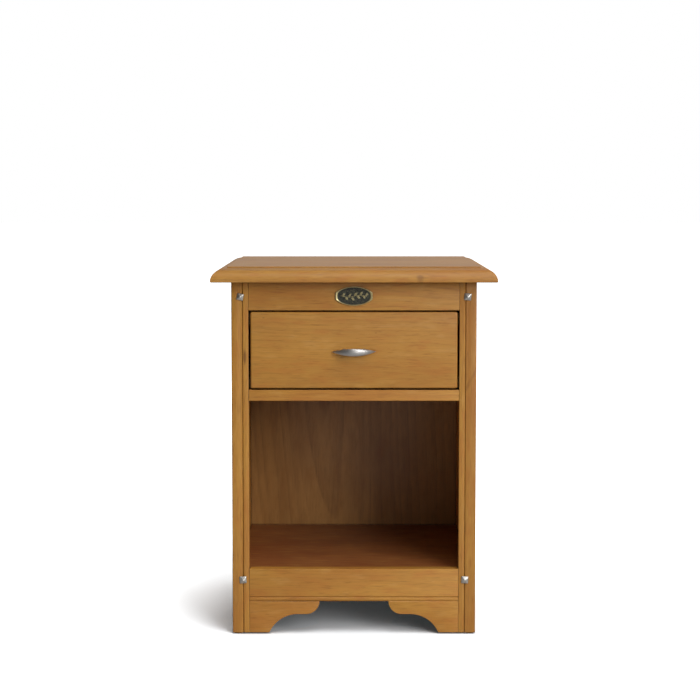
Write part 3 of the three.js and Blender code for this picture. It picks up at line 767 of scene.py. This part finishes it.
def stud_mesh(node, turn, size):
    """A square head raised to a blunt four-sided point, a little off centre, on a round shank."""
    low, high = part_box(node)
    centre = (low + high) / 2
    half = (high.x - low.x) / 2 * size
    face = high.y - STUD_SHANK["length"]
    corners = [(-1, -1), (1, -1), (1, 1), (-1, 1)]
    work = bmesh.new()
    rings = [[(half * a, -lift, half * b) for a, b in corners] for lift in (0.0, STUD_HEAD["rim"])]
    base, rim = loft(work, rings)
    work.faces.new(base)
    off_x = random.uniform(-OFF_CENTRE, OFF_CENTRE) * MM
    off_z = random.uniform(-OFF_CENTRE, OFF_CENTRE) * MM
    close_to_point(work, rim, (off_x, low.y - face, off_z))
    above_base = [edge for edge in work.edges if any(vert.co.y < 0 for vert in edge.verts)]
    bmesh.ops.bevel(work, geom=above_base, offset=STUD_HEAD["ease"], segments=4, profile=0.6,
                    affect="EDGES", clamp_overlap=True)
    spin = Matrix.Rotation(math.radians(turn), 4, "Y")
    place = Matrix.Translation((centre.x, face, centre.z))
    bmesh.ops.transform(work, matrix=place @ spin, verts=work.verts)
    radius = STUD_SHANK["radius"]
    profile = [(radius, 0.0), (radius, STUD_SHANK["straight"]), (0.0, STUD_SHANK["length"])]
    lathe(work, profile, STUD_SHANK["steps"], (centre.x, face, centre.z), (0, 1, 0))
    return to_mesh(work, node + "_head")


for node, (turn, size) in STUDS.items():
    as_piece(node + "_head", stud_mesh(node, turn, size), PEWTER, "carcass", node)


# ------------------------------------------------------------------ plaque

PLAQUE = {
    "end": 11.5 * MM,  # the height of its upright ends
    "plate": 1.5 * MM,  # how far its field stands out from the wall
    "relief": 0.6 * MM,  # the ornament's height above the field
    "margin": 1.0 * MM,  # where the ornament and the pebbles fade out beside the rim
    "middle": 0.9,  # how much of the relief its middle point has
    "corner": 8,  # the power that rounds the field's corners: a larger one is sharper
}
PLAQUE_ANGLES, FIELD_RINGS, RIM_RINGS = 240, 36, 10
RIM = {"top": 1.6 * MM, "side": 3.7 * MM, "height": 1.15 * MM}
# The rim climbs from the field over the first share of its width, and falls off near its outer edge.
RIM_CLIMB, RIM_FALL_FROM, RIM_FALL = 0.8, 1.15, 0.3
PEBBLES = {"scale": 700, "height": 0.5 * MM}

# The ornament: a wavy stem with leaves on alternate sides, which get shorter away from the middle.
VINE = {
    "end": 21 * MM, "half_stem": 0.6 * MM, "wave": 1.6 * MM, "wave_length": 37.6 * MM,
    "pitch": 4.7 * MM, "leaves_each_way": 4, "lean": math.radians(50),
}
LEAF = {
    "half_length": 4.5 * MM, "shorter": 0.3 * MM, "half_width": 2.0 * MM,
    "vein": 0.32 * MM, "vein_depth": 0.5,
}


def stem_line(x):
    return VINE["wave"] * math.sin(2 * math.pi * x / VINE["wave_length"])


def leaf_height(along, aside, half_length):
    """A domed leaf with a vein down its middle, in its own axes."""
    inside = 1 - (along / half_length) ** 2 - (aside / LEAF["half_width"]) ** 2
    vein = LEAF["vein_depth"] * math.exp(-(aside / LEAF["vein"]) ** 2)
    return math.sqrt(inside) - vein if inside > 0 else 0.0


def vine_height(x, z):
    """The vine's height above the field, as a share of its relief."""
    stem = 1 - ((z - stem_line(x)) / VINE["half_stem"]) ** 2
    height = max(0.0, stem) if abs(x) < VINE["end"] else 0.0
    for leaf in range(-VINE["leaves_each_way"], VINE["leaves_each_way"] + 1):
        base = leaf * VINE["pitch"]
        half_length = LEAF["half_length"] - LEAF["shorter"] * abs(leaf)
        turn_x, turn_z = math.cos(VINE["lean"]), (-1) ** leaf * math.sin(VINE["lean"])
        from_x = x - base - half_length * turn_x
        from_z = z - stem_line(base) - half_length * turn_z
        along, aside = from_x * turn_x + from_z * turn_z, from_z * turn_x - from_x * turn_z
        height = max(height, leaf_height(along, aside, half_length))
    return height


def field_lift(x, z, to_rim):
    """How far the field, with its pebbles and the vine, stands out from the wall."""
    raised = vine_height(x, z)
    pebble = noise.noise(Vector((x, z, 0)) * PEBBLES["scale"]) * PEBBLES["height"]
    fade = min(1.0, to_rim / PLAQUE["margin"])
    return PLAQUE["plate"] + (PLAQUE["relief"] * raised + pebble * (1 - min(raised, 1.0))) * fade


def rim_lift(share):
    """How far the rim stands out from the wall, by the share of its width from the field."""
    crown = min(1.0, share / RIM_CLIMB, (RIM_FALL_FROM - share) / RIM_FALL)
    return PLAQUE["plate"] + RIM["height"] * crown


def soft_minimum(a, b):
    """The smaller of two lengths, with a rounded change from one to the other."""
    return (a ** -PLAQUE["corner"] + b ** -PLAQUE["corner"]) ** (-1 / PLAQUE["corner"])


def plaque_mesh():
    """A lens-shaped plate with short upright ends, a raised rim and a vine on a pebbled field."""
    low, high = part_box("plaque")
    centre = (low + high) / 2
    half_width, half_height = (high.x - low.x) / 2, (high.z - low.z) / 2
    rise = half_height - PLAQUE["end"] / 2
    radius = (half_width ** 2 + rise ** 2) / (2 * rise)
    drop = radius - half_height

    def outline(across, up, top_inset=0.0, side_inset=0.0):
        """How far the arc and the end, or lines inside them, are from the centre in one direction."""
        arc = -drop * abs(up) + math.sqrt((radius - top_inset) ** 2 - drop ** 2 * across ** 2)
        return arc, (half_width - side_inset) / abs(across)

    spokes = []
    for index in range(PLAQUE_ANGLES):
        angle = 2 * math.pi * (index + 0.5) / PLAQUE_ANGLES
        across, up = math.cos(angle), math.sin(angle)
        edge = min(outline(across, up))
        inner = soft_minimum(*outline(across, up, RIM["top"], RIM["side"]))
        profile = []
        for ring in range(1, FIELD_RINGS + 1):
            reach = inner * ring / FIELD_RINGS
            profile.append((reach, field_lift(reach * across, reach * up, inner - reach)))
        for ring in range(1, RIM_RINGS + 1):
            share = ring / RIM_RINGS
            profile.append((inner + (edge - inner) * share, rim_lift(share)))
        profile.append((edge, 0.0))
        spokes.append([(centre.x + reach * across, high.y - lift, centre.z + reach * up)
                       for reach, lift in profile])
    work = bmesh.new()
    made = loft(work, list(zip(*spokes)))
    work.faces.new(made[-1])
    middle = high.y - PLAQUE["plate"] - PLAQUE["relief"] * PLAQUE["middle"]
    close_to_point(work, made[0], (centre.x, middle, centre.z))
    return to_mesh(work, "plaque_plate")


# How far above the field the patina starts to thin, and where the brass is clean.
PATINA_THINS, BRASS_CLEAN = 0.06 * MM, 0.8 * MM
BRASS_CLOUDS, BRASS_GRAIN = 420.0, 2600.0


def aged_brass():
    """Pale brass where hands and cloths reach, and a green-black patina down in the field."""
    material, graph = new_material("aged_brass")
    place = graph.place()
    depth = graph.separate(place)["y"]
    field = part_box("plaque")[1].y - PLAQUE["plate"]
    raised = graph.span(depth, field - PATINA_THINS, field - BRASS_CLEAN)
    cloud = graph.noise(place, BRASS_CLOUDS, 3.0)
    polished = graph.math("MULTIPLY", raised, graph.span(cloud, 0.25, 0.75, 0.55, 1.0))
    patina = graph.blend(graph.span(cloud, 0.35, 0.7), rgb(18, 20, 15), rgb(62, 64, 50))
    brass = graph.blend(cloud, rgb(244, 228, 168), rgb(200, 182, 124))
    shader = graph.add("ShaderNodeBsdfPrincipled", {
        "Base Color": graph.blend(polished, patina, brass),
        "Metallic": graph.span(polished, 0.0, 0.6, 0.2, 0.55),
        "Roughness": graph.span(polished, 0.0, 1.0, 0.5, 0.36),
        "Normal": graph.bump(graph.noise(place, BRASS_GRAIN, 3.0), 0.05 * MM, 0.6),
    })
    graph.finish(shader)
    return material


as_piece("oval_plaque", plaque_mesh(), aged_brass(), "carcass", "plaque")


# ------------------------------------------------------------------ screws

SCREW_HEAD = {"bevel": 0.2 * MM, "rim": 0.6 * MM, "cone": 2.5 * MM, "steps": 28}
RECESS = {"width": 1.1 * MM, "span": 4.6 * MM, "depth": 1.6 * MM}
# The thread's share of the screw, and each turn's crest and end along it, and its root's radius.
THREAD = {"share": 0.62, "pitch": 1.2 * MM, "crest": 0.45 * MM, "end": 0.9 * MM, "root": 0.78}
SCREW_CREASE = math.radians(35)


def screw_profile(length, shank, head):
    """Half of a screw's section, from the middle of its head to its tip."""
    profile = [
        (head - SCREW_HEAD["bevel"], 0.0), (head, SCREW_HEAD["bevel"]),
        (head, SCREW_HEAD["rim"]), (shank, SCREW_HEAD["cone"]),
    ]
    threads = int(length * THREAD["share"] / THREAD["pitch"])
    start = length - 2 * shank - threads * THREAD["pitch"]
    root = shank * THREAD["root"]
    for index in range(threads):
        at = start + index * THREAD["pitch"]
        profile += [(root, at), (shank, at + THREAD["crest"]), (root, at + THREAD["end"])]
    return profile + [(0.0, length)]


def screw_mesh(node, axis, shank, head):
    """A countersunk screw and its cross recess. The axis points from its head to its tip."""
    low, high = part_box(node)
    axis = Vector(axis)
    length = abs(axis.dot(high - low))
    seat = (low + high) / 2 - axis * (length / 2)
    work = bmesh.new()
    lathe(work, screw_profile(length, shank, head), SCREW_HEAD["steps"], seat, axis)
    body = to_mesh(work, node + "_body")
    turn = axis.to_track_quat("Z", "Y").to_matrix().to_4x4()
    shape = Matrix.Diagonal((RECESS["span"], RECESS["width"], 2 * RECESS["depth"], 1.0))
    cutter = bmesh.new()
    for spin in (0.0, math.pi / 2):
        placed = Matrix.Translation(seat) @ turn @ Matrix.Rotation(spin, 4, "Z")
        bmesh.ops.create_cube(cutter, size=1.0, matrix=placed @ shape)
    return body, to_mesh(cutter, node + "_recess", smooth=False)


def cut_mesh(body, tool, name):
    """The first mesh with the second cut out of it."""
    holder, cutter = bpy.data.objects.new(name, body), bpy.data.objects.new(name + "_tool", tool)
    for item in (holder, cutter):
        bpy.context.scene.collection.objects.link(item)
    boolean = holder.modifiers.new("recess", "BOOLEAN")
    boolean.operation = "DIFFERENCE"
    boolean.solver = "EXACT"
    boolean.use_self = True
    boolean.object = cutter
    seen = holder.evaluated_get(bpy.context.evaluated_depsgraph_get())
    mesh = bpy.data.meshes.new_from_object(seen)
    for item in (holder, cutter):
        bpy.data.objects.remove(item)
    mesh.set_sharp_from_angle(angle=SCREW_CREASE)
    return mesh


# Each kind of screw: how its nodes' names start, its axis, shank radius, head radius and body.
SCREWS = [
    (("top_screw_front", "top_screw_rear"), (0, 0, 1), 2.0 * MM, 4.0 * MM, "carcass"),
    (("handle_screw",), (0, -1, 0), 2.0 * MM, 4.5 * MM, "drawer"),
    (("drawer_face_screw",), (0, -1, 0), 1.8 * MM, 4.0 * MM, "drawer"),
]
for stems, axis, shank, head, body in SCREWS:
    for node in [f"{stem}_{side}" for side, _ in SIDES for stem in stems]:
        mesh = cut_mesh(*screw_mesh(node, axis, shank, head), node + "_cut")
        as_piece(node + "_cross", mesh, ZINC, body, node)


# ------------------------------------------------------------------ glides

NYLON_CLOUDS, NYLON_SCUFFS = 240.0, (3000.0, 500.0, 3000.0)
NAIL_HOLE = {"radius": 1.3 * MM, "depth": 0.7 * MM, "lip": 0.15 * MM, "flare": 0.5 * MM}
# The sole's rounded edge, as how far in from the rim and how far up from the floor it is.
SOLE = [(1.6 * MM, 0.0), (0.5 * MM, 0.25 * MM), (0.1 * MM, 0.7 * MM), (0.0, 1.2 * MM)]
GLIDE_EASE, GLIDE_STEPS, GLIDE_CREASE = 0.1 * MM, 40, math.radians(40)


def nylon():
    """Brown nylon, a little cloudy, with scuffs along Y and pale worn edges."""
    material, graph = new_material("brown_nylon")
    place = graph.place()
    cloud = graph.noise(place, NYLON_CLOUDS, 4.0)
    scuffs = graph.noise(place, NYLON_SCUFFS, 2.0)
    colour = graph.blend(graph.span(cloud, 0.3, 0.7), rgb(70, 48, 32), rgb(40, 26, 18))
    colour = graph.blend(graph.outer_edges(0.4 * MM), colour, rgb(112, 88, 66))
    shader = graph.add("ShaderNodeBsdfPrincipled", {
        "Base Color": colour,
        "Roughness": graph.span(scuffs, 0.3, 0.7, 0.45, 0.65),
        "Normal": graph.bump(scuffs, 0.05 * MM, 0.5),
    })
    graph.finish(shader)
    return material


def glide_mesh(node):
    """A round glide with a softly rounded sole and a nail hole in its middle."""
    low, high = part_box(node)
    centre, radius, height = (low + high) / 2, (high.x - low.x) / 2, high.z - low.z
    hole, depth = NAIL_HOLE["radius"], NAIL_HOLE["depth"]
    profile = [(0.0, depth), (hole, depth), (hole + GLIDE_EASE, NAIL_HOLE["lip"])]
    profile.append((hole + NAIL_HOLE["flare"], 0.0))
    profile += [(radius - inset, up) for inset, up in SOLE]
    profile += [(radius, height - GLIDE_EASE), (radius - GLIDE_EASE, height), (0.0, height)]
    work = bmesh.new()
    lathe(work, profile, GLIDE_STEPS, (centre.x, centre.y, low.z), (0, 0, 1))
    return to_mesh(work, node + "_disc")


NYLON = nylon()
for end in ("front", "rear"):
    for side, _ in SIDES:
        node = f"glide_{end}_{side}"
        piece = as_piece(node + "_disc", glide_mesh(node), NYLON, "carcass", node)
        piece.data.set_sharp_from_angle(angle=GLIDE_CREASE)


# ------------------------------------------------------------------ studio

CAMERA = {
    "place": (-6.5 * MM, -2903.2 * MM, 740.6 * MM),
    "tilt": math.radians(4.25),
    "lens": 85.74,
    "sensor": 36.0,
    "shift": -0.0571,
}
# Where the lights point, and each one's azimuth and elevation in degrees, distance and size in
# metres, and power in watts.
AIM = Vector((0.0, 0.0, 0.3))
SOFT_BOXES = {
    "key": (34.0, 20.0, 8.0, (4.2, 3.8), 366.0),
    "overhead": (30.0, 62.0, 3.0, (2.2, 2.2), 42.0),
    "fill": (1.0, 3.0, 6.0, (3.6, 2.0), 20.0),
}


def make_camera():
    data = bpy.data.cameras.new("camera")
    data.lens = CAMERA["lens"]
    data.sensor_width = CAMERA["sensor"]
    data.shift_y = CAMERA["shift"]
    camera = bpy.data.objects.new("camera", data)
    camera.location = CAMERA["place"]
    camera.rotation_euler = (math.pi / 2 - CAMERA["tilt"], 0.0, 0.0)
    bpy.context.scene.collection.objects.link(camera)
    bpy.context.scene.camera = camera


def soft_box(name, azimuth, elevation, distance, size, power):
    """An area light aimed at the object. Azimuth turns from the front towards +X."""
    data = bpy.data.lights.new(name, "AREA")
    data.shape = "RECTANGLE"
    data.size, data.size_y = size
    data.energy = power
    light = bpy.data.objects.new(name, data)
    turn, rise = math.radians(azimuth), math.radians(elevation)
    out = Vector((math.sin(turn) * math.cos(rise), -math.cos(turn) * math.cos(rise), math.sin(rise)))
    light.location = AIM + distance * out
    light.rotation_euler = out.to_track_quat("Z", "Y").to_euler()
    bpy.context.scene.collection.objects.link(light)


FLOOR_HALF = 30.0
# The exposure of the floor as the camera sees it.
FLOOR_GAIN = (1.74, 1.78, 1.82, 1.0)
# How much light the floor sends back: less beyond the white sweep, which ends in the dark studio.
FLOOR_BOUNCE = {"white": 0.55, "dark": 0.15, "from": 1.1, "to": 3.6}
# The contact shadow: how far it reaches, the share of the sky seen where it starts and ends, and
# what is left of the light where it is deepest.
CONTACT = {"reach": 0.14, "closed": 0.2, "open": 0.68, "least": 0.45, "samples": 8}
# Faint cool light in the shadows, and where the white of the sweep takes over from them.
FLOOR_LIFT = (0.022, 0.028, 0.030)
GLOW = {"centre_y": -0.25, "squeeze": 1.6, "from": 0.39, "to": 0.86}


def floor_material():
    """Matt white, exposed until it is pure white wherever the light reaches it freely."""
    material, graph = new_material("studio_floor")
    seen = graph.add("ShaderNodeLightPath", output="Is Camera Ray")
    far = graph.length(graph.place())
    bounce = graph.span(far, FLOOR_BOUNCE["from"], FLOOR_BOUNCE["to"],
                        FLOOR_BOUNCE["white"], FLOOR_BOUNCE["dark"])
    gain = graph.blend(seen, graph.grey(bounce), FLOOR_GAIN)
    reach = {"Distance": CONTACT["reach"]}
    sky = graph.add("ShaderNodeAmbientOcclusion", reach, "AO", samples=CONTACT["samples"])
    under = graph.span(sky, CONTACT["closed"], CONTACT["open"], CONTACT["least"], 1.0)
    gain = graph.vector("MULTIPLY", gain, graph.grey(under))
    matt = graph.add("ShaderNodeBsdfDiffuse", {"Color": gain})

    place = graph.vector("SUBTRACT", graph.place(), (0.0, GLOW["centre_y"], 0.0))
    away = graph.length(graph.vector("MULTIPLY", place, (GLOW["squeeze"], 1.0, 0.0)))
    glow = graph.span(away, GLOW["from"], GLOW["to"], smooth=False)
    light = graph.vector("ADD", graph.grey(glow), FLOOR_LIFT)
    lit = graph.add("ShaderNodeEmission", {"Color": light, "Strength": seen})
    graph.finish(graph.add("ShaderNodeAddShader", {0: matt, 1: lit}))
    return material


def make_floor():
    mesh = bpy.data.meshes.new("floor")
    work = bmesh.new()
    bmesh.ops.create_grid(work, x_segments=1, y_segments=1, size=FLOOR_HALF)
    work.to_mesh(mesh)
    work.free()
    mesh.materials.append(floor_material())
    floor = bpy.data.objects.new("floor", mesh)
    bpy.context.scene.collection.objects.link(floor)


# The dome's least brightness, and what it gains to the back and to the right: along which axis,
# between which parts of the unit direction, and how much.
DOME = 0.055
DOME_GAINS = (("y", -0.2, 0.8, 0.5), ("x", -0.3, 0.9, 0.04))


def make_world():
    """White behind the object, and a dimmer soft dome for the lighting and the reflections."""
    world = bpy.data.worlds.new("studio")
    bpy.context.scene.world = world
    world.use_nodes = True
    graph = Graph(world.node_tree)
    direction = graph.separate(graph.add("ShaderNodeTexCoord", output="Generated"))
    strength = DOME
    for axis, start, full, gain in DOME_GAINS:
        facing = graph.span(direction[axis], start, full)
        strength = graph.math("MULTIPLY_ADD", facing, gain, strength)
    dome = graph.add("ShaderNodeBackground", {"Color": WHITE, "Strength": strength})
    white = graph.add("ShaderNodeBackground", {"Color": WHITE, "Strength": 1.0})
    seen = graph.add("ShaderNodeLightPath", output="Is Camera Ray")
    mixed = graph.add("ShaderNodeMixShader", {0: seen, 1: dome, 2: white})
    graph.finish(mixed, "ShaderNodeOutputWorld")


make_camera()
make_floor()
make_world()
for name, setting in SOFT_BOXES.items():
    soft_box(name, *setting)
bpy.context.scene.view_settings.view_transform = "Standard"
